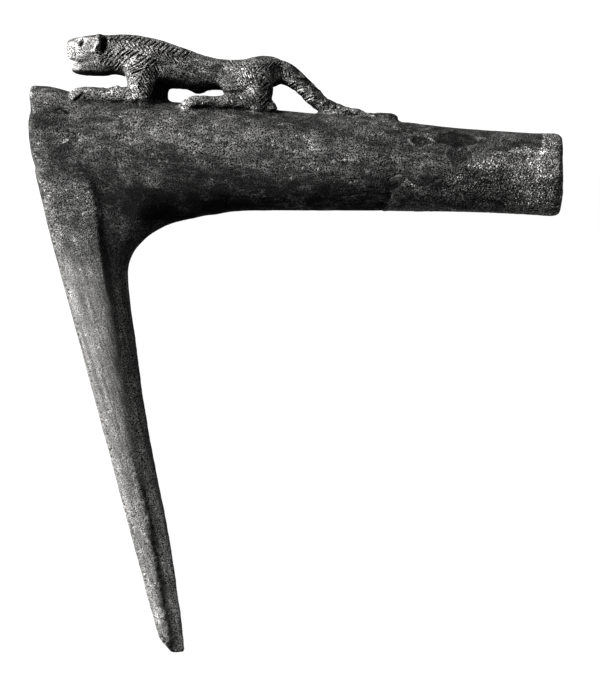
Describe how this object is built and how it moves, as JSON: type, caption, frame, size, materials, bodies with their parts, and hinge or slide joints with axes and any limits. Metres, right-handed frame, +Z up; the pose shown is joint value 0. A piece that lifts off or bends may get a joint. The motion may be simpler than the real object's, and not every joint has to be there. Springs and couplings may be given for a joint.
{
  "type": "pickaxe head",
  "caption": "Cast bronze pickaxe head: a tubular haft socket, a long pick of diamond section at right angles to it, and a crouching lion on the socket's back.",
  "frame": {"origin": "on the ground, under the middle of the head as it lies on its side", "axes": "+X along the socket and out of its mouth, +Y from the pick towards the lion, +Z up"},
  "size_m": [0.1876, 0.215, 0.0283],
  "materials": {
    "bronze": "dark patinated cast bronze, matt to satin, with granular corrosion crust"
  },
  "bodies": {
    "root": {"pickaxe_head": "bronze"}
  },
  "joints": []
}
